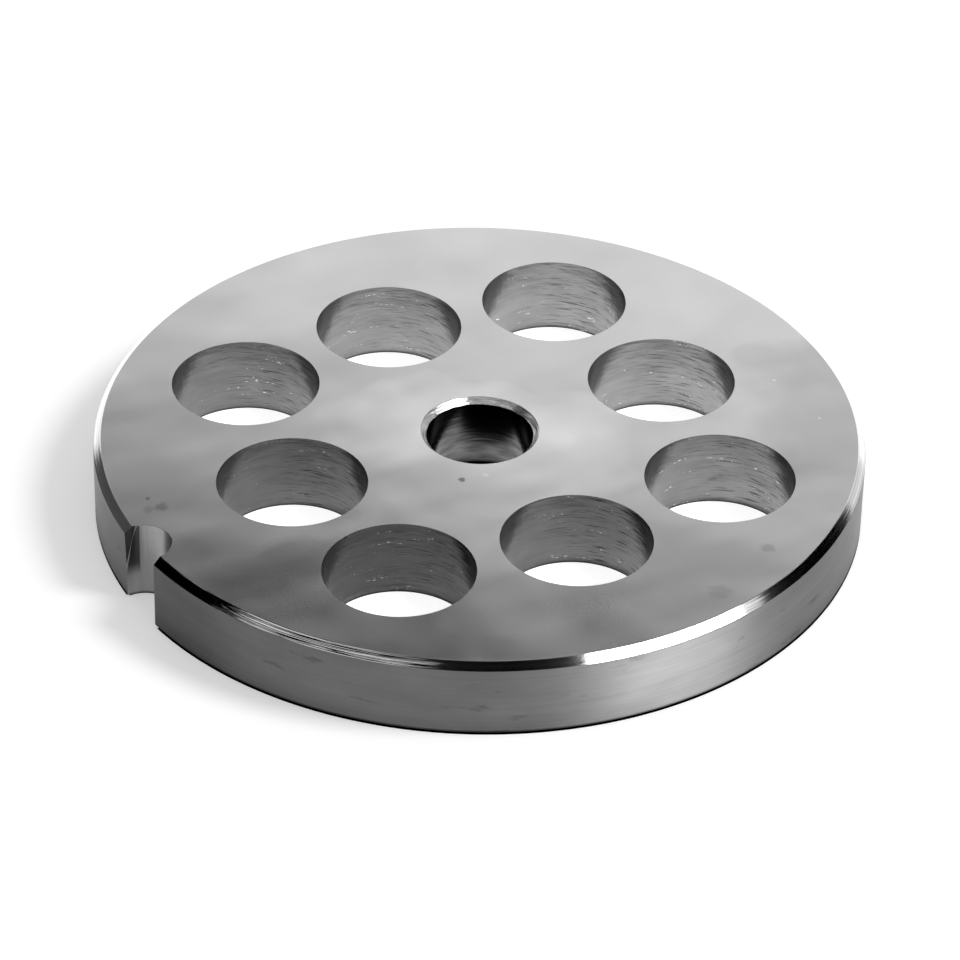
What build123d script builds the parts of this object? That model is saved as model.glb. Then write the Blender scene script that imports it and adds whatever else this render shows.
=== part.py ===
from build123d import *

import os
from math import cos, radians, sin, sqrt

# Meat grinder plate: the coarse disc that a grinder's knife turns against.
#
# It is one piece of steel, turned to a disc with a centre bore, drilled with two
# interleaved rings of meat holes, and slotted once at the rim for the locating pin of
# the grinder's housing. All sizes are in millimetres. The origin is on the bore's axis
# at the underside, +Z points up to the knife face, and the notch is on the -X side.

# --- Driving sizes --------------------------------------------------------------------

# Disc
outer_diameter = 82.0
thickness = 8.7
rim_chamfer = 0.8  # top edge of the rim, at 45 degrees
rim_edge_break = 0.3  # bottom edge of the rim, at 45 degrees

# Centre bore, which runs on the stud of the feed screw
bore_diameter = 11.4
bore_chamfer = 0.6  # both ends, at 45 degrees

# Meat holes
hole_diameter = 15.9
ring_stagger = 4.5  # from the inner ring's pitch radius to the outer ring's
ring_bias = 0.9  # from midway between bore and rim, out to midway between the rings
least_web = 3.0  # metal that neighbouring holes keep between them
most_holes = 40  # on both rings together

# Notch, a round-ended slot that is open at the rim
notch_width = 6.0
notch_depth = 3.5  # inwards from the rim
notch_angle = 180.0  # from +X, in degrees
notch_lead = 4.5  # from the nearest hole of the inner ring round to the notch, in degrees

# Facet on one corner of the notch's mouth, where the pin is led in
lead_in_depth = 5.5  # down from the knife face, to where it runs out
lead_in_inward = 1.3  # along the notch's wall, at the knife face
lead_in_along = 0.4  # along the rim, at the knife face
lead_in_overhang = 1.0  # how far its cutter stands out past the corner

# --- Derived sizes --------------------------------------------------------------------

outer_radius = outer_diameter / 2
bore_radius = bore_diameter / 2
hole_radius = hole_diameter / 2

mid_pitch = (bore_radius + outer_radius) / 2 + ring_bias
inner_pitch = mid_pitch - ring_stagger / 2
outer_pitch = mid_pitch + ring_stagger / 2

half_notch = notch_width / 2
notch_centre = outer_radius - notch_depth + half_notch  # of the round end, from the bore's axis
mouth = sqrt(outer_radius**2 - half_notch**2)  # where the notch's walls meet the rim


def web_between_holes(count):
    """The least metal between neighbours, when count holes take the two rings in turn."""
    step = radians(360 / count)
    ring_to_ring = sqrt(
        inner_pitch**2 + outer_pitch**2 - 2 * inner_pitch * outer_pitch * cos(step)
    )
    round_inner_ring = 2 * inner_pitch * sin(step)
    return min(ring_to_ring, round_inner_ring) - hole_diameter


# The plate has as many holes as its webs allow, half of them on each ring.
hole_count = max(
    count for count in range(4, most_holes + 1, 2) if web_between_holes(count) >= least_web
)


# --- Features -------------------------------------------------------------------------


def turned_disc():
    """The disc with its rim edges and its bore, revolved from one half section."""
    mouth_radius = bore_radius + bore_chamfer
    half_section = Polyline(
        (mouth_radius, 0),
        (outer_radius - rim_edge_break, 0),
        (outer_radius, rim_edge_break),
        (outer_radius, thickness - rim_chamfer),
        (outer_radius - rim_chamfer, thickness),
        (mouth_radius, thickness),
        (bore_radius, thickness - bore_chamfer),
        (bore_radius, bore_chamfer),
        close=True,
    )
    return revolve(Plane.XZ * make_face(half_section), Axis.Z)


def meat_holes():
    """Through holes on the two rings, the outer ring half a pitch round from the inner."""
    first_angle = notch_angle - notch_lead
    half_pitch = 360 / hole_count
    per_ring = hole_count // 2
    drill = extrude(Circle(hole_radius), thickness)
    inner_ring = PolarLocations(inner_pitch, per_ring, first_angle)
    outer_ring = PolarLocations(outer_pitch, per_ring, first_angle + half_pitch)
    return [place * drill for ring in (inner_ring, outer_ring) for place in ring]


def notch():
    """The slot's round end and straight walls, cut through and drawn with the rim at +X."""
    walls = Rectangle(notch_depth, notch_width, align=(Align.MIN, Align.CENTER))
    return Pos(notch_centre, 0, 0) * extrude(Circle(half_notch) + walls, thickness)


def notch_lead_in():
    """The facet's cutter: a triangle at the knife face that tapers down to the mouth's corner.

    One point is on the notch's wall, which has begun to curve there, one is on the rim,
    and one stands out past the corner.
    """
    wall_end = mouth - lead_in_inward
    into_curve = max(notch_centre - wall_end, 0)
    triangle = Polyline(
        (wall_end, -sqrt(half_notch**2 - into_curve**2)),
        (mouth, -half_notch - lead_in_along),
        (mouth + lead_in_overhang, -half_notch + lead_in_overhang),
        close=True,
    )
    run_out = Vertex(mouth, -half_notch, thickness - lead_in_depth)
    return loft([Pos(0, 0, thickness) * make_face(triangle), run_out])


def grinder_plate():
    """The whole plate: the turned disc, less its holes, its notch and the lead-in."""
    to_notch = Rot(0, 0, notch_angle)
    return turned_disc() - meat_holes() - to_notch * notch() - to_notch * notch_lead_in()


plate = grinder_plate()
plate.label = "grinder_plate"

os.makedirs("parts", exist_ok=True)
export_step(plate, "parts/grinder_plate.step")
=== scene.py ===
from math import cos, hypot, radians, sqrt, tan

import bmesh
import bpy
from mathutils import Matrix, Vector


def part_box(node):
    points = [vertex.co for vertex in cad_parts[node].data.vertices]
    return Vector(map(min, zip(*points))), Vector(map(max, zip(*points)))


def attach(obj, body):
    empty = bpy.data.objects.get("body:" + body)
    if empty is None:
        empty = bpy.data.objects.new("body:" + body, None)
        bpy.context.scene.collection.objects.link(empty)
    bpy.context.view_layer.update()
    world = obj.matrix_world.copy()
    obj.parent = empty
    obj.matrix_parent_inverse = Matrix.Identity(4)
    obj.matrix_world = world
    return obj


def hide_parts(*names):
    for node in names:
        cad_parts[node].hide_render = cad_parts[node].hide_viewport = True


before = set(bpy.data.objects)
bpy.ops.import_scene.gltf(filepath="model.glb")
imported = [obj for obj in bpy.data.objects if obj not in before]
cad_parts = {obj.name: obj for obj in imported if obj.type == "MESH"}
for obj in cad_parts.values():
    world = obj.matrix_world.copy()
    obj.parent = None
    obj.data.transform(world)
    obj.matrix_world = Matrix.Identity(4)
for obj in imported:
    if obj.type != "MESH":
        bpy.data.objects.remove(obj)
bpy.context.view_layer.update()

# Looks of the meat grinder plate: one disc of tool steel with a ground knife face, a
# turned rim, drilled meat holes and a milled notch, on a white studio sweep.
#
# Sizes are in millimetres and angles in degrees until mm() or radians() turns them.

low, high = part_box("grinder_plate")


def mm(*sizes):
    """Millimetres to Blender's metres: one number, or the vector of several."""
    return sizes[0] / 1000 if len(sizes) == 1 else Vector(sizes) / 1000


# --- Sizes ------------------------------------------------------------------------------

outer_radius = high.y * 1000
thickness = (high.z - low.z) * 1000
rim_chamfer = 0.8
rim_edge_break = 0.3

bore_radius = 5.7
bore_chamfer = 0.6

hole_radius = 7.95
hole_count = 8
inner_pitch = 22.0
outer_pitch = 26.5
first_hole = 175.5  # angle of the first hole of the inner ring, from +X

notch_half_width = 3.0
notch_centre = outer_radius - 0.5  # of its round end, towards -X
mouth = sqrt(outer_radius**2 - notch_half_width**2)  # where its walls meet the rim

lead_in_depth = 5.5
lead_in_inward = 1.3
lead_in_along = 0.4
lead_in_overhang = 1.0

edge_round = 0.03  # the deburred edges' radius
cut_past = 1.0  # how far the cutters run past the faces

rim_steps = 360
hole_steps = 120
notch_steps = 48

camera_side = 237.85  # the direction from the plate to the camera, from +X


def around(azimuth, elevation, distance):
    """A point round the plate, in metres: azimuth 0 is the camera's side, and 90 its right."""
    turn = Matrix.Rotation(radians(camera_side + azimuth), 3, "Z")
    return turn @ Matrix.Rotation(radians(-elevation), 3, "Y") @ Vector((mm(distance), 0, 0))


def towards(azimuth):
    """The level direction of an azimuth, of length 1."""
    return around(azimuth, 0, 1000)


up = (0, 0, 1)

# --- Geometry ---------------------------------------------------------------------------


def turned(name, profile, steps, centre=(0, 0), corners=()):
    """A closed piece turned from a profile of (radius, height) points round a centre.

    A profile that starts on the axis ends there too, and one that starts off it is a loop. Its
    points named in corners are rounded first, by edge_round.
    """
    bm = bmesh.new()
    points = [bm.verts.new(mm(radius, 0, height)) for radius, height in profile]
    is_loop = profile[0][0] > 0
    pairs = list(zip(points, points[1:] + points[:1]))
    for pair in pairs if is_loop else pairs[:-1]:
        bm.edges.new(pair)
    rounded = [points[i] for i in corners]
    if rounded:
        bmesh.ops.bevel(
            bm,
            geom=rounded,
            affect="VERTICES",
            offset=mm(edge_round),
            offset_type="OFFSET",
            segments=2,
            profile=0.5,
            material=-1,
        )
    bmesh.ops.spin(
        bm,
        geom=bm.verts[:] + bm.edges[:],
        cent=(0, 0, 0),
        axis=(0, 0, 1),
        angle=radians(360),
        steps=steps,
        use_merge=True,
    )
    bmesh.ops.remove_doubles(bm, verts=bm.verts[:], dist=mm(0.001))
    bmesh.ops.translate(bm, verts=bm.verts[:], vec=mm(*centre, 0))
    return finished_mesh(bm, name)


def finished_mesh(bm, name):
    """The bmesh as an object's mesh, with its faces pointing outwards."""
    bmesh.ops.recalc_face_normals(bm, faces=bm.faces[:])
    mesh = bpy.data.meshes.new(name)
    bm.to_mesh(mesh)
    bm.free()
    return bpy.data.objects.new(name, mesh)


def turned_disc():
    """The disc with its rim edges, its bore and the countersink at each end."""
    mouth_radius = bore_radius + bore_chamfer
    profile = [
        (mouth_radius, 0),
        (outer_radius - rim_edge_break, 0),
        (outer_radius, rim_edge_break),
        (outer_radius, thickness - rim_chamfer),
        (outer_radius - rim_chamfer, thickness),
        (mouth_radius, thickness),
        (bore_radius, thickness - bore_chamfer),
        (bore_radius, bore_chamfer),
    ]
    return turned("grinder_plate_steel", profile, rim_steps, corners=range(len(profile)))


def drill(centre):
    """A meat hole's cutter."""
    profile = [
        (0, -cut_past),
        (hole_radius, -cut_past),
        (hole_radius, thickness + cut_past),
        (0, thickness + cut_past),
    ]
    return turned("drill", profile, hole_steps, centre)


def slot_mill():
    """The notch's cutter: level after level of one round-ended outline, bridged."""
    bm = bmesh.new()
    levels = [
        (-cut_past, edge_round + cut_past),
        (edge_round, 0),
        (thickness - edge_round, 0),
        (thickness + cut_past, edge_round + cut_past),
    ]
    rings = []
    for height, flare in levels:
        half = notch_half_width + flare
        start = bm.verts.new(mm(-notch_centre, half, height))
        swept = bmesh.ops.spin(
            bm,
            geom=[start],
            cent=mm(-notch_centre, 0, height),
            axis=(0, 0, 1),
            angle=radians(-180),
            steps=notch_steps,
        )
        end = next(part for part in swept["geom_last"] if isinstance(part, bmesh.types.BMVert))
        out = -outer_radius - cut_past
        outside = [bm.verts.new(mm(out, half, height)), bm.verts.new(mm(out, -half, height))]
        bm.edges.new((start, outside[0]))
        bm.edges.new(outside)
        bm.edges.new((outside[1], end))
        earlier = set(edge for ring in rings for edge in ring)
        rings.append([edge for edge in bm.edges if edge not in earlier])
    for below, above in zip(rings, rings[1:]):
        bmesh.ops.bridge_loops(bm, edges=below + above)
    bmesh.ops.holes_fill(bm, edges=bm.edges[:], sides=0)
    return finished_mesh(bm, "slot_mill")


def lead_in_file():
    """The cutter of the facet at one corner of the notch: a triangle run down to a point."""
    bm = bmesh.new()
    wall_end = mouth - lead_in_inward
    into_curve = notch_centre - wall_end
    wall = sqrt(notch_half_width**2 - into_curve**2)
    top = thickness
    triangle = [
        bm.verts.new(mm(-wall_end, wall, top)),
        bm.verts.new(mm(-mouth, notch_half_width + lead_in_along, top)),
        bm.verts.new(mm(-mouth - lead_in_overhang, notch_half_width - lead_in_overhang, top)),
    ]
    run_out = bm.verts.new(mm(-mouth, notch_half_width, top - lead_in_depth))
    for corner in triangle:  # carried on past the face
        corner.co += (corner.co - run_out.co) * (cut_past / lead_in_depth)
    bmesh.ops.convex_hull(bm, input=bm.verts[:])
    return finished_mesh(bm, "lead_in_file")


def cut(piece, cutters):
    """Takes each cutter from the piece in turn, and removes the cutters."""
    bpy.context.scene.collection.objects.link(piece)
    for cutter in cutters:
        bpy.context.scene.collection.objects.link(cutter)
        modifier = piece.modifiers.new(cutter.name, "BOOLEAN")
        modifier.operation = "DIFFERENCE"
        modifier.solver = "EXACT"
        modifier.object = cutter
    bpy.context.view_layer.update()
    as_cut = piece.evaluated_get(bpy.context.evaluated_depsgraph_get())
    cut_mesh = bpy.data.meshes.new_from_object(as_cut)
    piece.modifiers.clear()
    piece.data = cut_mesh
    for cutter in cutters:
        bpy.data.objects.remove(cutter)


def hole_centres():
    """Where the meat holes are: the two rings in turn, a step of the pattern apart."""
    for i in range(hole_count):
        pitch = outer_pitch if i % 2 else inner_pitch
        arm = Matrix.Rotation(radians(first_hole + i * 360 / hole_count), 2)
        yield arm @ Vector((pitch, 0))


# --- Finishes of the surfaces -----------------------------------------------------------


def linear(code):
    """An sRGB hex value such as C8C8C8 as Blender's linear colour."""
    parts = [int(code[i : i + 2], 16) / 255 for i in (0, 2, 4)]
    return [c / 12.92 if c <= 0.04045 else ((c + 0.055) / 1.055) ** 2.4 for c in parts]


def add(tree, kind, inputs={}, **settings):
    """Adds a node with its settings, links or sets its inputs, and gives its first output."""
    made = tree.nodes.new(kind)
    for name, value in settings.items():
        setattr(made, name, value)
    for name, value in inputs.items():
        if isinstance(value, bpy.types.NodeSocket):
            tree.links.new(value, made.inputs[name])
        else:
            made.inputs[name].default_value = value
    return next(out for out in made.outputs if out.enabled) if made.outputs else made


def place_in_mm(tree):
    """The point of the object, in millimetres."""
    place = tree.nodes.new("ShaderNodeTexCoord").outputs["Object"]
    return add(tree, "ShaderNodeVectorMath", {0: place, "Scale": 1000.0}, operation="SCALE")


def mottle(tree, size, start, end, limits=(0.3, 0.7), seed=0, detail=2.0):
    """Patches size millimetres long along X, Y and Z, from a start value to an end value.

    The limits are the levels of the noise, from 0 to 1, at which it reaches the two. The seed
    moves the noise, so that two patterns with different seeds don't line up.
    """
    place = add(
        tree,
        "ShaderNodeMapping",
        {
            "Vector": place_in_mm(tree),
            "Location": (seed * 7.3, seed * 3.1, seed * 5.7),
            "Scale": [1 / s for s in size],
        },
    )
    cloud = add(tree, "ShaderNodeTexNoise", {"Vector": place, "Scale": 1.0, "Detail": detail})
    return add(
        tree,
        "ShaderNodeMapRange",
        {"Value": cloud, "From Min": limits[0], "From Max": limits[1], "To Min": start, "To Max": end},
    )


def ramp(tree, direction, near, far, start, end):
    """A value that runs from start to end between two distances along a direction, in millimetres."""
    along = add(
        tree,
        "ShaderNodeVectorMath",
        {0: place_in_mm(tree), 1: direction},
        operation="DOT_PRODUCT",
    ).node.outputs["Value"]
    return add(
        tree,
        "ShaderNodeMapRange",
        {"Value": along, "From Min": near, "From Max": far, "To Min": start, "To Max": end},
    )


def steel(name, roughness, anisotropy=0.0):
    """A bare steel; anisotropy is how far its turning marks drag a reflection up and down."""
    material = bpy.data.materials.new(name)
    material.use_nodes = True
    tree = material.node_tree
    surface = tree.nodes["Principled BSDF"]
    surface.inputs["Metallic"].default_value = 1.0
    surface.inputs["Roughness"].default_value = roughness
    surface.inputs["Anisotropic"].default_value = anisotropy
    if anisotropy:
        tree.links.new(add(tree, "ShaderNodeCombineXYZ", {"Z": 1.0}), surface.inputs["Tangent"])
    return material, tree, surface


def tone(tree, surface, code, *factors):
    """The base colour: the hex colour times each factor."""
    colour = linear(code)
    for factor in factors:
        colour = add(tree, "ShaderNodeVectorMath", {0: colour, "Scale": factor}, operation="SCALE")
    tree.links.new(colour, surface.inputs["Base Color"])


def bump(tree, surface, *layers):
    """The normal, raised by each layer's height of 0 to 1 times its depth in millimetres."""
    normal = None
    for height, depth in layers:
        inputs = {"Strength": 1.0, "Distance": mm(depth), "Height": height}
        if normal:
            inputs["Normal"] = normal
        normal = add(tree, "ShaderNodeBump", inputs)
    tree.links.new(normal, surface.inputs["Normal"])


def spot(tree, centre, radius, level):
    """A round mark with a ragged edge: level inside it, and 1 away from it."""
    away = add(
        tree,
        "ShaderNodeVectorMath",
        {0: place_in_mm(tree), 1: (*centre, thickness)},
        operation="DISTANCE",
    ).node.outputs["Value"]
    grain = min(0.6 * radius, 12)
    edge = mottle(tree, (grain, grain, grain), 0.7, 1.3, seed=20)
    ragged = add(tree, "ShaderNodeMath", {0: away, 1: edge}, operation="MULTIPLY")
    return add(
        tree,
        "ShaderNodeMapRange",
        {"Value": ragged, "From Min": radius / 2, "From Max": radius, "To Min": level, "To Max": 1.0},
    )


def ground_face(name, marks=()):
    """Surface-ground steel: a soft mirror that clouds a little, as no ground face is quite flat.

    Its grinding lines are too fine to be seen apart, so its roughness stands for them.
    """
    material, tree, surface = steel(name, roughness=0.16)
    tone(
        tree,
        surface,
        "DADADA",
        mottle(tree, (13, 13, 13), 0.92, 1.0, seed=1, detail=3.0),
        *[spot(tree, *mark) for mark in marks],
    )
    haze = mottle(tree, (9, 9, 9), 0.14, 0.18, seed=2)
    tree.links.new(haze, surface.inputs["Roughness"])
    bump(tree, surface, (mottle(tree, (26, 18, 20), 0.0, 1.0, (0.0, 1.0), seed=12), 0.12))
    return material


def turned_rim():
    """Turned steel: fine lines round the rim drag each reflection into an upright streak.

    The lines are about 0.2 mm apart, which is coarser than a finishing tool's feed, so that
    they show. The rim carries faint dark smears, and painted shade that darkens it towards
    its foot, with a painted shadow along the foot.
    """
    material, tree, surface = steel("turned_steel_rim", roughness=0.5, anisotropy=0.95)
    lines = mottle(tree, (14, 14, 0.22), 0.0, 1.0, seed=3)
    tone(
        tree,
        surface,
        "8C8C8C",
        mottle(tree, (14, 14, 0.22), 0.94, 1.03, seed=3),  # the same lines
        mottle(tree, (7, 7, 2.5), 0.92, 1.08, seed=4, detail=4.0),  # a cloudy film
        mottle(tree, (4, 4, 1.2), 1.0, 0.7, (0.64, 0.74), seed=14, detail=5.0),  # smears
        ramp(tree, up, 0.5, 2.5, 0.85, 1.0),  # painted shade, darker towards the foot
        ramp(tree, up, 0.35, 0.55, 0.3, 1.0),  # and a painted shadow along it
    )
    bump(tree, surface, (lines, 0.004))
    return material


chatter_depth = 0.1  # how much deeper the marks are where the tool chattered


def turned_chamfer(name, roughness, anisotropy, length, feed, groove, chatter=None):
    """A chamfer cut by a sharp tool: bright, with feed marks of this length, spacing and depth.

    The marks are drawn coarser than the tool's real feed, so that they show. Where the tool
    chattered, the azimuth is given, and they are deeper there.
    """
    material, tree, surface = steel(name, roughness, anisotropy)
    tone(tree, surface, "D0D0D0", mottle(tree, (length, length, 0.12), 0.7, 1.15, seed=15, detail=3.0))
    marks = mottle(tree, (length, length, feed), 0.0, 1.0, (0.0, 1.0), seed=5, detail=3.0)
    layers = [(marks, groove)]
    if chatter is not None:
        side = ramp(tree, towards(chatter), outer_radius - 3, outer_radius - 1, 0.0, 1.0)
        deeper = add(tree, "ShaderNodeMath", {0: marks, 1: side}, operation="MULTIPLY")
        layers.append((deeper, chatter_depth))
    bump(tree, surface, *layers)
    return material


def drilled_wall():
    """A drilled wall, darker than the face: smooth arcs, scored at the right, with painted glints in
    rows.

    The attribute to_right is 1 at the right of each hole and -1 at its left. A ragged painted
    shade darkens the upper right of each wall, fainter in the holes behind. Slow waves in the
    wall break up the edges of what it mirrors.
    """
    material, tree, surface = steel("drilled_steel", roughness=0.28, anisotropy=0.5)
    to_right = add(tree, "ShaderNodeAttribute", attribute_name="to_right").node.outputs["Fac"]
    scored = add(
        tree,
        "ShaderNodeMapRange",
        {"Value": to_right, "From Min": -0.5, "From Max": 0.5, "To Min": 0.0, "To Max": 1.0},
    )
    scores = mottle(tree, (2.5, 2.5, 0.12), 0.72, 0.0, (0.34, 0.44), seed=13, detail=4.0)
    scoring = add(tree, "ShaderNodeMath", {0: scored, 1: scores}, operation="MULTIPLY")
    ragged = add(
        tree,
        "ShaderNodeMath",
        {0: to_right, 1: mottle(tree, (3, 3, 0.3), -0.12, 0.12, seed=23, detail=4.0)},
        operation="ADD",
    )
    reach = add(
        tree,
        "ShaderNodeMath",
        {0: ragged, 1: ramp(tree, up, 0, thickness, -0.32, 0.0)},
        operation="ADD",
    )
    # The painted shade at the upper right of each hole, fainter in the holes behind.
    faintest_hole_shade = ramp(tree, towards(180), -26, 26, 0.03, 0.6)
    painted_hole_shade = add(
        tree,
        "ShaderNodeMapRange",
        {"Value": reach, "From Min": 0.73, "From Max": 0.93, "To Min": 1.0, "To Max": faintest_hole_shade},
    )
    rows = mottle(tree, (5, 5, 0.7), 0.0, 1.0, (0.6, 0.67), seed=22)
    painted_glints = mottle(tree, (0.45, 0.45, 0.12), 0.0, 4.0, (0.62, 0.7), seed=16)
    tone(
        tree,
        surface,
        "767676",
        mottle(tree, (8, 8, 0.4), 0.95, 1.04, seed=6),  # the arcs
        mottle(tree, (4, 4, 2.5), 0.9, 1.1, seed=7),  # a cloudy film
        add(tree, "ShaderNodeMath", {0: 1.0, 1: scoring}, operation="SUBTRACT"),
        # bright specks in rows: painted glints
        add(tree, "ShaderNodeMath", {0: rows, 1: painted_glints, 2: 1.0}, operation="MULTIPLY_ADD"),
        # the painted shade at the right
        painted_hole_shade,
        ramp(tree, up, 0.05, 0.3, 0.25, 1.0),  # a painted shadow along the foot
    )
    drawn = mottle(tree, (6, 6, 0.25), 0.0, 1.0, (0.0, 1.0), seed=6, detail=3.0)
    waves = mottle(tree, (4, 4, 1.2), 0.0, 1.0, (0.0, 1.0), seed=24, detail=3.0)
    bump(tree, surface, (drawn, 0.01), (scoring, 0.008), (waves, 0.08))
    return material


def reamed_bore():
    """The bore, reamed smooth, with painted shade darkest at its top and at its foot."""
    material, tree, surface = steel("reamed_steel", roughness=0.16, anisotropy=0.3)
    tone(
        tree,
        surface,
        "464646",
        mottle(tree, (2.5, 2.5, 0.6), 0.5, 1.2, seed=8, detail=4.0),  # smears
        ramp(tree, up, 4.5, 7.0, 1.0, 0.5),  # painted shade, darker towards the top
        ramp(tree, up, 0.65, 1.6, 0.12, 1.0),  # and painted shade at the foot
    )
    bump(tree, surface, (mottle(tree, (2.5, 2.5, 0.3), 0.0, 1.0, (0.0, 1.0), seed=8, detail=4.0), 0.015))
    return material


highlight_edge = Vector((lead_in_depth, 0, -lead_in_inward)).normalized()  # across the facet's inner edge, along which a highlight is painted
highlight_edge_place = highlight_edge.dot(Vector((lead_in_inward - mouth, 0, thickness)))


def milled_notch():
    """Milled steel: light grey with upright cutter marks, and dark beside the filed facet."""
    material, tree, surface = steel("milled_steel", roughness=0.3)
    facet_end = lead_in_inward - mouth
    beside = ramp(tree, (1, 0, 0), facet_end + 0.1, facet_end + 0.2, 0.28, 1.0)
    below = ramp(tree, up, 2.6, 4.5, 1.0, 0.0)
    tone(
        tree,
        surface,
        "B8B8B8",
        mottle(tree, (0.6, 0.6, 6), 0.93, 1.06, seed=9),  # the cutter marks
        ramp(tree, up, 0.1, 0.4, 0.15, 1.0),  # a painted shadow along the foot
        ramp(tree, towards(90), -32.4, -31.6, 1.0, 0.25),  # painted shade at the right
        add(tree, "ShaderNodeMath", {0: beside, 1: below}, operation="MAXIMUM"),
    )
    bump(tree, surface, (mottle(tree, (0.6, 0.6, 6), 0.0, 1.0, seed=9), 0.01))
    return material


def filed_facet():
    """The filed facet of the notch: dark where the file left it rough, with a painted highlight along
    one edge.
    """
    material, tree, surface = steel("filed_steel", roughness=0.35)
    tone(
        tree,
        surface,
        "3E3E3E",
        mottle(tree, (0.4, 0.4, 3), 0.7, 1.2, seed=18),  # the strokes
        ramp(tree, highlight_edge, highlight_edge_place - 0.24, highlight_edge_place - 0.16, 1.0, 8.0),  # a painted highlight along the edge
    )
    return material


def shaded_edge():
    """The lower edge of the rim, dark with painted shade, and nearly black at the front left."""
    material, tree, surface = steel("shaded_steel_edge", roughness=0.4)
    # Painted shade, nearly black at the front left.
    front_left_shade = ramp(tree, towards(-40), 15, 38, 1.0, 0.1)
    tone(tree, surface, "484848", mottle(tree, (5, 5, 1), 0.5, 1.3, seed=19), front_left_shade)
    return material


# --- The plate --------------------------------------------------------------------------

# What use has left on the knife face, each with its place, radius and tone: smudges by the
# notch, a dark and a bright fleck by the bore, streaks at the front right and two nicks.
wear = [
    ((-35.9, 4.6), 0.8, 0.7),
    ((-37.2, 4.9), 0.7, 0.85),
    ((-36.4, 6.6), 0.3, 0.6),
    ((-6.4, -6.9), 0.45, 0.4),
    ((-3.8, -7.4), 0.35, 1.3),
    ((14.5, -33.0), 0.9, 0.8),
    ((6.1, -36.8), 1.5, 0.88),
    ((32.5, -7.9), 0.22, 1.3),
    ((32.6, -16.3), 0.22, 1.3),
]
# Broad soft areas where the face's colour is made lighter or darker, in the same terms.
patches = [
    ((-3.7, -7.1), 19, 1.35),
    ((-12.0, -36.0), 14, 1.25),
    ((36.5, -18.7), 16, 0.78),
]

# The material of each region of the plate.
finishes = {
    "knife_face": ground_face("ground_steel_knife_face", wear + patches),
    "underside": ground_face("ground_steel_underside"),
    "rim": turned_rim(),
    "rim_chamfer": turned_chamfer(
        "turned_steel_chamfer",
        roughness=0.1,
        anisotropy=0.5,
        length=30,
        feed=0.2,
        groove=0.01,
        chatter=-24,
    ),
    "edge_break": shaded_edge(),
    "countersink": turned_chamfer(
        "turned_steel_countersink",
        roughness=0.2,
        anisotropy=0.5,
        length=3,
        feed=0.12,
        groove=0.14,
    ),
    "bore": reamed_bore(),
    "hole": drilled_wall(),
    "notch": milled_notch(),
    "lead_in": filed_facet(),
}

level_slope = 0.999  # at least this, either way up, is a level face
upright_slope = 0.05  # less than this is an upright one
lead_in_slope = 0.5
rim_slope = 0.6  # the rim takes the roundings of its edges, up to this slope
countersink_slope = 0.3  # and the bore those of its mouth, up to this one
near_notch = 0.2  # how far past its size the notch is looked for


def region_of(face):
    """Which surface of the plate a face belongs to, from its place and its slope.

    The slope is the normal's height: 1 for level and facing up, 0 for upright.
    """
    x, y, _ = (c * 1000 for c in face.center)
    radius = hypot(x, y)
    slope = face.normal.z
    if abs(slope) > level_slope:
        return "knife_face" if slope > 0 else "underside"
    notch_start = notch_centre - notch_half_width - near_notch
    notch_end = outer_radius - 0.01
    by_notch = x < 0 and abs(y) < notch_half_width + lead_in_along + near_notch
    if by_notch and notch_start < radius < notch_end:
        if upright_slope < slope < lead_in_slope:
            return "lead_in"
        if abs(y) < notch_half_width + near_notch and abs(slope) < upright_slope:
            return "notch"
    if radius > outer_radius - rim_chamfer - edge_round:
        if abs(slope) < rim_slope:
            return "rim"
        return "rim_chamfer" if slope > 0 else "edge_break"
    if radius < bore_radius + bore_chamfer + edge_round:
        return "countersink" if slope > countersink_slope else "bore"
    return "notch" if radius > notch_start else "hole"


def mark_right_sides(piece):
    """Gives each point how far it lies to the right of its nearest hole: 1 for right, -1 for left.

    The painted shade lies a little behind the camera's right, so that is the right meant.
    """
    to_right = piece.data.attributes.new("to_right", "FLOAT", "POINT")
    right = towards(100).to_2d()
    centres = list(hole_centres())
    for vertex, mark in zip(piece.data.vertices, to_right.data):
        place = vertex.co.to_2d() * 1000
        outwards = min((place - centre for centre in centres), key=lambda arm: arm.length)
        mark.value = outwards.normalized() @ right


plate = turned_disc()
cut(plate, [drill(centre) for centre in hole_centres()] + [slot_mill(), lead_in_file()])
plate.data.materials.clear()
for material in finishes.values():
    plate.data.materials.append(material)
regions = list(finishes)
for face in plate.data.polygons:
    face.material_index = regions.index(region_of(face))
    face.use_smooth = True
plate.data.set_sharp_from_angle(angle=radians(10))
mark_right_sides(plate)
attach(plate, "root")
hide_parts("grinder_plate")

# --- Camera -----------------------------------------------------------------------------

camera_elevation = 34.734
camera_distance = 494.6  # from the middle of the knife face
camera_lens = 174.54
camera_yaw = -0.0155
camera_pitch = -0.6171
camera_roll = 1.2158


def make_camera():
    """The camera, aimed at the middle of the knife face and then turned a little."""
    camera = bpy.data.objects.new("camera", bpy.data.cameras.new("camera"))
    bpy.context.scene.collection.objects.link(camera)
    camera.data.lens = camera_lens
    camera.data.sensor_width = 36
    camera.data.clip_start = 0.01
    place = around(0, camera_elevation, camera_distance) + mm(0, 0, thickness)
    aim = (
        Matrix.Rotation(radians(camera_side + 90), 3, "Z")
        @ Matrix.Rotation(radians(90 - camera_elevation), 3, "X")
        @ Matrix.Rotation(radians(camera_yaw), 3, "Y")
        @ Matrix.Rotation(radians(camera_pitch), 3, "X")
        @ Matrix.Rotation(radians(camera_roll), 3, "Z")
    )
    camera.matrix_world = Matrix.Translation(place) @ aim.to_4x4()
    bpy.context.scene.camera = camera


# --- Studio -----------------------------------------------------------------------------

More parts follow.
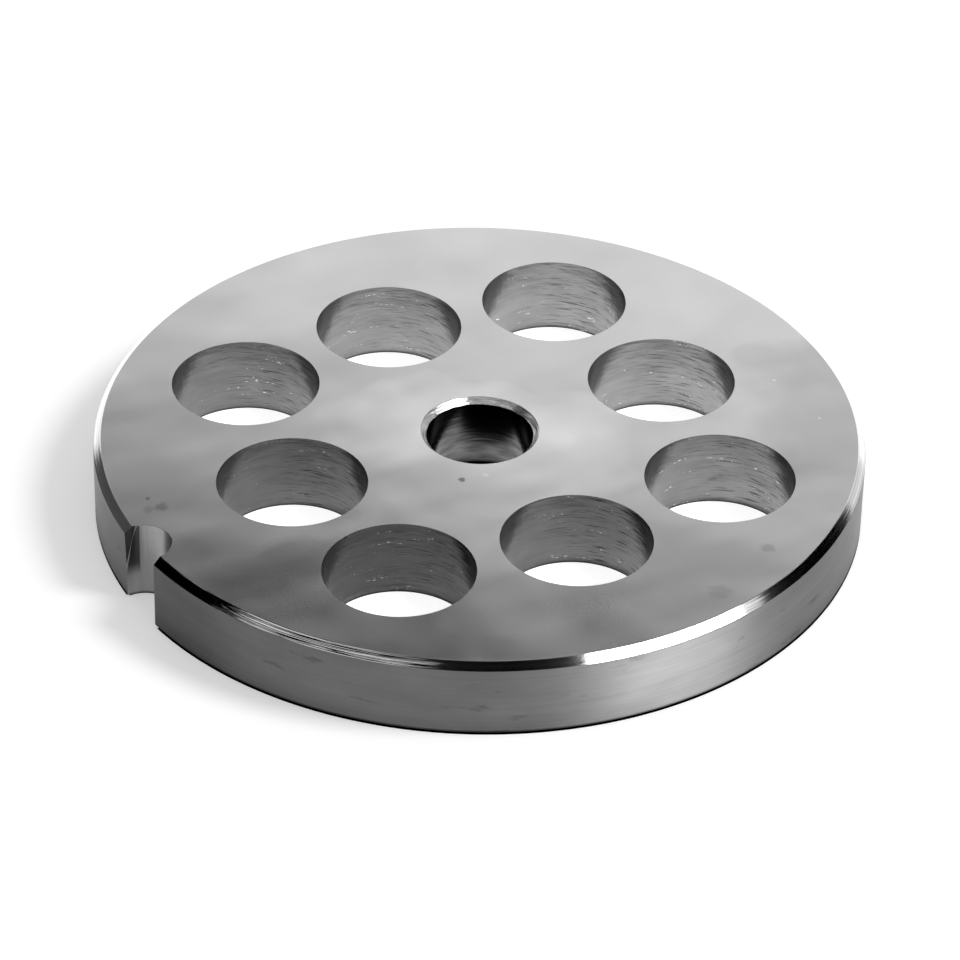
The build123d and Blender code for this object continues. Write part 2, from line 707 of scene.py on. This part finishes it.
facing = Matrix.Rotation(radians(camera_side + 90), 3, "Z")  # turns +X to the camera's right

floor_drop = 0.02  # the floor lies this far below the plate, so that the two don't touch
disc_drop = 0.01  # and the discs that its openings mirror, between the two


def glow(name):
    """An emission material that still needs its strength."""
    material = bpy.data.materials.new(name)
    material.use_nodes = True
    tree = material.node_tree
    tree.nodes.clear()
    light = add(tree, "ShaderNodeEmission")
    add(tree, "ShaderNodeOutputMaterial", {"Surface": light})
    return material, tree, light.node.inputs["Strength"]


def staged(name, bm, material):
    """The bmesh as a thing of the studio, with its material."""
    mesh = bpy.data.meshes.new(name)
    bm.to_mesh(mesh)
    bm.free()
    mesh.materials.append(material)
    made = bpy.data.objects.new(name, mesh)
    bpy.context.scene.collection.objects.link(made)
    return made


def hide_but_in_reflections(made):
    """Leaves a thing to be seen by reflections only."""
    made.visible_camera = False
    made.visible_diffuse = False
    made.visible_shadow = False
    made.visible_transmission = False


def board(name, place, look, size, strength):
    """A flat board that only reflections see: a black flag, or a bright softbox."""
    bm = bmesh.new()
    bmesh.ops.create_grid(bm, x_segments=1, y_segments=1, size=0.5)
    bmesh.ops.scale(bm, verts=bm.verts[:], vec=(*mm(*size), 1))
    bmesh.ops.rotate(bm, verts=bm.verts[:], cent=(0, 0, 0), matrix=look)
    bmesh.ops.translate(bm, verts=bm.verts[:], vec=place)
    material, tree, level = glow(name)
    level.default_value = strength
    hide_but_in_reflections(staged(name, bm, material))


def standing(name, azimuth, elevation, distance, size, strength):
    """A board on edge that faces the plate, its width level."""
    place = around(azimuth, elevation, distance)
    board(name, place, place.to_track_quat("Z", "Y").to_matrix(), size, strength)


def ceiling(height, back_elevation, front_elevation, width, turn):
    """A level black board overhead, between an elevation behind the plate and one in front."""
    back = height / tan(radians(back_elevation))
    front = -height / tan(radians(front_elevation))
    look = facing @ Matrix.Rotation(radians(turn), 3, "Z")
    depth = (back - front) * cos(radians(turn))
    board("ceiling_flag", facing @ mm(0, (back + front) / 2, height), look, (width, depth), 0.0)


def overhead(height, elevation, strength):
    """A level softbox straight above the plate, down to an elevation all round."""
    width = 2 * height / tan(radians(elevation))
    board("overhead_softbox", mm(0, 0, height), Matrix.Identity(3), (width, width), strength)


def mirrored_floor(name, centres, radius, azimuth, near, far, start, end):
    """The floor in the openings as their walls mirror it, brighter towards an azimuth.

    Each disc is smaller than its opening, so that the wall is dark at its left and right.
    """
    bm = bmesh.new()
    for x, y in centres:
        place = Matrix.Translation(mm(x, y, -disc_drop))
        bmesh.ops.create_circle(
            bm,
            cap_ends=True,
            segments=48,
            radius=mm(radius),
            matrix=place,
        )
    material, tree, level = glow(name)
    tree.links.new(ramp(tree, towards(azimuth), near, far, start, end), level)
    hide_but_in_reflections(staged(name, bm, material))


def seen(tree, *kinds):
    """1 for the rays of these kinds, and 0 for soft light."""
    path = tree.nodes.new("ShaderNodeLightPath")
    level = path.outputs[kinds[0]]
    for kind in kinds[1:]:
        level = add(tree, "ShaderNodeMath", {0: level, 1: path.outputs[kind]}, operation="MAXIMUM")
    return level


hole_glow = 0.8  # painted light: how brightly the camera sees the floor in the openings
floor_glow = 0.36  # and outside them, where the shadow falls
glow_edge = 36.0  # the distance from the axis where one gives way to the other
bore_dark = 9.0  # a painted black shadow on the floor this near the axis, under the bore
gap_width = 0.8  # of the painted dark shadow in the gap under the rim's lower edge
fill_strength = 0.5
key_power = 5.2
key_size = 350


def make_floor():
    """The white floor: it glows a little wherever it is seen, and keeps the soft shadow.

    It has painted light in the openings, and a painted black shadow under the bore and in the
    thin gap under the rim's edge, but not in the notch.
    """
    bm = bmesh.new()
    bmesh.ops.create_grid(bm, x_segments=1, y_segments=1, size=3)
    bmesh.ops.translate(bm, verts=bm.verts[:], vec=mm(0, 0, -floor_drop))
    material, tree, level = glow("white_sweep")
    away = add(
        tree,
        "ShaderNodeVectorMath",
        {0: place_in_mm(tree)},
        operation="LENGTH",
    ).node.outputs["Value"]
    outside = add(
        tree,
        "ShaderNodeMapRange",
        {
            "Value": away,
            "From Min": glow_edge - 1,
            "From Max": glow_edge + 1,
            "To Min": hole_glow,
            "To Max": floor_glow,
        },
    )
    past_bore = add(tree, "ShaderNodeMath", {0: away, 1: bore_dark}, operation="GREATER_THAN")
    under_edge = add(
        tree,
        "ShaderNodeMath",
        {0: away, 1: outer_radius - gap_width / 2, 2: gap_width / 2},
        operation="COMPARE",
    )
    from_notch = add(
        tree,
        "ShaderNodeVectorMath",
        {0: place_in_mm(tree), 1: (-notch_centre, 0, 0)},
        operation="DISTANCE",
    ).node.outputs["Value"]
    notch_reach = notch_half_width + 0.35
    in_notch = add(tree, "ShaderNodeMath", {0: from_notch, 1: notch_reach}, operation="LESS_THAN")
    gap = add(tree, "ShaderNodeMath", {0: under_edge, 1: in_notch}, operation="SUBTRACT", use_clamp=True)
    # lit is 1 where the floor keeps its light, and 0 in the painted shadows under the bore and in the
    # gap
    lit = add(tree, "ShaderNodeMath", {0: past_bore, 1: gap}, operation="SUBTRACT")
    shown = add(
        tree,
        "ShaderNodeMath",
        {0: seen(tree, "Is Camera Ray", "Is Transmission Ray"), 1: outside},
        operation="MULTIPLY",
    )
    behind = ramp(tree, towards(175), -30, 30, 0.0, 0.9)
    glowing = add(
        tree,
        "ShaderNodeMath",
        {0: seen(tree, "Is Glossy Ray"), 1: behind, 2: shown},
        operation="MULTIPLY_ADD",
    )
    tree.links.new(add(tree, "ShaderNodeMath", {0: glowing, 1: lit}, operation="MULTIPLY"), level)
    white = add(tree, "ShaderNodeVectorMath", {0: (0.8, 0.8, 0.8), "Scale": lit}, operation="SCALE")
    matt = add(tree, "ShaderNodeBsdfDiffuse", {"Color": white})
    both = add(tree, "ShaderNodeAddShader", {0: matt, 1: level.node.outputs[0]})
    tree.links.new(both, tree.nodes["Material Output"].inputs["Surface"])
    staged("floor", bm, material)


def make_world():
    """White wherever it is seen, and a moderate light for matt surfaces."""
    world = bpy.data.worlds.new("studio")
    world.use_nodes = True
    bpy.context.scene.world = world
    tree = world.node_tree
    tree.nodes.clear()
    level = add(
        tree,
        "ShaderNodeMapRange",
        {
            "Value": seen(tree, "Is Camera Ray", "Is Glossy Ray", "Is Transmission Ray"),
            "To Min": fill_strength,
        },
    )
    sky = add(tree, "ShaderNodeBackground", {"Color": (1, 1, 1, 1), "Strength": level})
    add(tree, "ShaderNodeOutputWorld", {"Surface": sky})


def make_key():
    """The key lamp, which draws the short shadow."""
    lamp = bpy.data.lights.new("key", "AREA")
    lamp.shape = "DISK"
    lamp.size = mm(key_size)
    lamp.energy = key_power
    key = bpy.data.objects.new("key", lamp)
    bpy.context.scene.collection.objects.link(key)
    key.location = around(82, 50, 1000)
    key.rotation_euler = key.location.to_track_quat("Z", "Y").to_euler()
    key.visible_glossy = False


bpy.context.scene.view_settings.view_transform = "Standard"
make_camera()
make_floor()
make_world()
make_key()
mirrored_floor(
    "holes_floor",
    hole_centres(),
    radius=hole_radius - 0.65,
    azimuth=155,
    near=-22,
    far=22,
    start=0.48,
    end=2.05,
)
mirrored_floor(
    "bore_floor",
    [(0, 0)],
    radius=bore_radius - 0.7,
    azimuth=150,
    near=0.3,
    far=2.2,
    start=0.0,
    end=2.8,
)
standing("key_softbox", azimuth=62, elevation=43, distance=900, size=(540, 260), strength=26.0)
ceiling(height=1200, back_elevation=36.1, front_elevation=40, width=2000, turn=-20)
overhead(height=1000, elevation=66, strength=0.7)
standing("grey_card", azimuth=-125, elevation=16, distance=1100, size=(508, 549), strength=0.09)
standing("left_flag", azimuth=-92.5, elevation=25, distance=1100, size=(779, 844), strength=0.0)
standing("right_flag", azimuth=109, elevation=24, distance=1100, size=(673, 520), strength=0.0)
